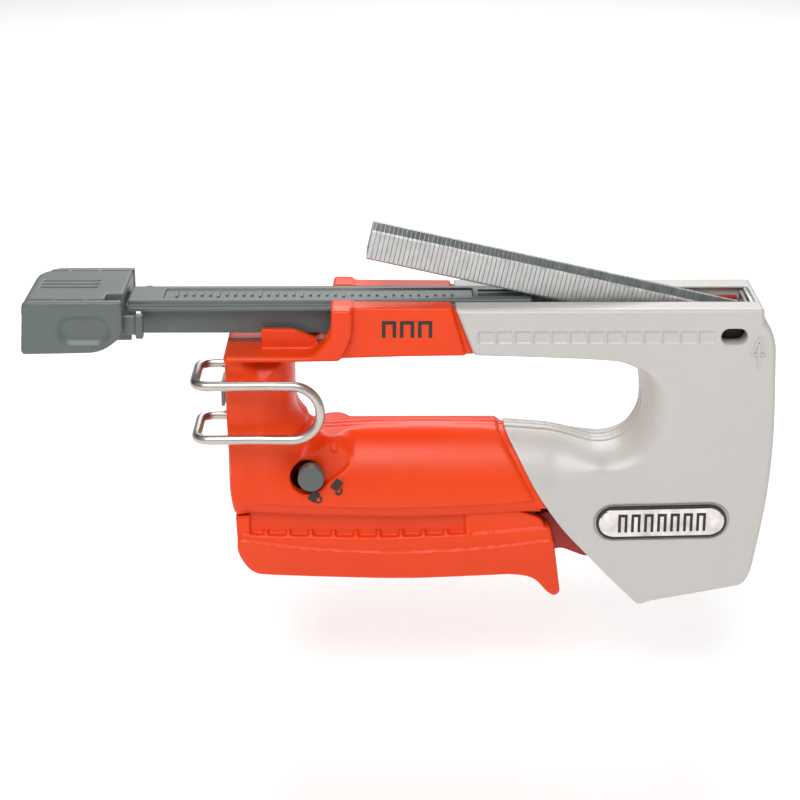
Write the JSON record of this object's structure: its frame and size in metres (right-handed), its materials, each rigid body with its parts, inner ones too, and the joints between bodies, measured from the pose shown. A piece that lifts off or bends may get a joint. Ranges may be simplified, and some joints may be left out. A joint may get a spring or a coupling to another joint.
{
  "type": "staple gun",
  "caption": "Hand-squeezed staple gun shown base up with its magazine rail drawn back for loading and a stick of staples leaning in.",
  "frame": {"origin": "on the base face, on the mid plane, in the middle of the nose's front wall, just ahead of where the staples leave", "axes": "+Z out of the base face, the way the staples are driven; +X towards the nose along the tool; +Y to the tool's right-hand side when it is held base down"},
  "size_m": [0.2065, 0.0391, 0.108],
  "materials": {
    "orange_plastic": "semi-gloss moulded",
    "red_plastic": "moulded",
    "silver_plastic": "fine metallic paint",
    "grey_plastic": "satin moulded",
    "dark_grey_plastic": "satin moulded",
    "bright_steel": "zinc plated",
    "dark_steel": "oiled",
    "chrome_plate": "bright",
    "black_rubber": "matt"
  },
  "bodies": {
    "housing": {"handle_shell_left": "orange_plastic", "handle_shell_right": "orange_plastic", "nose_cover_left": "silver_plastic", "nose_cover_right": "silver_plastic", "badge_left": "chrome_plate", "badge_right": "chrome_plate", "staple_channel": "bright_steel", "inner_frame": "red_plastic", "nose_guide_plate": "bright_steel", "bumper": "black_rubber", "main_spring": "bright_steel", "spring_seat": "red_plastic", "lever_pin": "bright_steel", "lever_spring": "bright_steel", "belt_hook": "chrome_plate", "belt_hook_plate": "dark_steel", "screw_column": "dark_steel", "screw_grip": "dark_steel", "screw_nose": "dark_steel", "screw_heel": "dark_steel"},
    "lever": {"lever": "orange_plastic", "lever_arm": "red_plastic"},
    "striker": {"hammer": "dark_steel", "striker_blade": "dark_steel"},
    "magazine": {"magazine_cap": "grey_plastic", "magazine_core": "dark_steel", "magazine_tip": "dark_steel", "magazine_knob": "grey_plastic", "follower_rod": "bright_steel", "follower_spring": "bright_steel"},
    "follower": {"follower": "dark_grey_plastic"},
    "latch_left": {"latch_pad_left": "dark_grey_plastic"},
    "latch_right": {"latch_pad_right": "dark_grey_plastic"},
    "lock": {"lock_bar": "dark_grey_plastic", "lock_button_left": "dark_grey_plastic", "lock_button_right": "dark_grey_plastic"},
    "staples": {"staple_strip": "bright_steel"}
  },
  "joints": [
    {"name": "lever_hinge", "type": "hinge", "parent": "housing", "child": "lever", "pos_m": [-0.0388, 0, -0.06], "axis": [0, -1, 0], "range_deg": [0, 25]},
    {"name": "striker_slide", "type": "slide", "parent": "housing", "child": "striker", "axis": [0, 0, -1], "range_m": [0, 0.0125], "stiffness_N_per_m": 3000, "springref_m": -0.01, "deforming": ["main_spring"]},
    {"name": "magazine_slide", "type": "slide", "parent": "housing", "child": "magazine", "axis": [1, 0, 0], "range_m": [0, 0.0555]},
    {"name": "follower_slide", "type": "slide", "parent": "magazine", "child": "follower", "axis": [1, 0, 0], "range_m": [-0.045, 0], "stiffness_N_per_m": 20, "springref_m": 0.03, "deforming": ["follower_spring"]},
    {"name": "latch_left_hinge", "type": "hinge", "parent": "magazine", "child": "latch_left", "pos_m": [-0.185, -0.0138, 0.0008], "axis": [1, 0, 0], "range_deg": [0, 4], "stiffness_Nm_per_rad": 0.3, "springref_deg": -1.15},
    {"name": "latch_right_hinge", "type": "hinge", "parent": "magazine", "child": "latch_right", "pos_m": [-0.185, 0.0138, 0.0008], "axis": [-1, 0, 0], "range_deg": [0, 4], "stiffness_Nm_per_rad": 0.3, "springref_deg": -1.15},
    {"name": "lock_slide", "type": "slide", "parent": "housing", "child": "lock", "axis": [0.7623, 0, 0.6472], "range_m": [0, 0.0069]},
    {"name": "staple_lift", "type": "slide", "parent": "housing", "child": "staples", "axis": [0, 0, 1], "range_m": [0, 0.017]}
  ],
  "couplings": [
    {"joint": "staple_lift", "follows": "magazine_slide", "ratio": 0.3},
    {"joint": "latch_right_hinge", "follows": "latch_left_hinge", "ratio": 1}
  ]
}
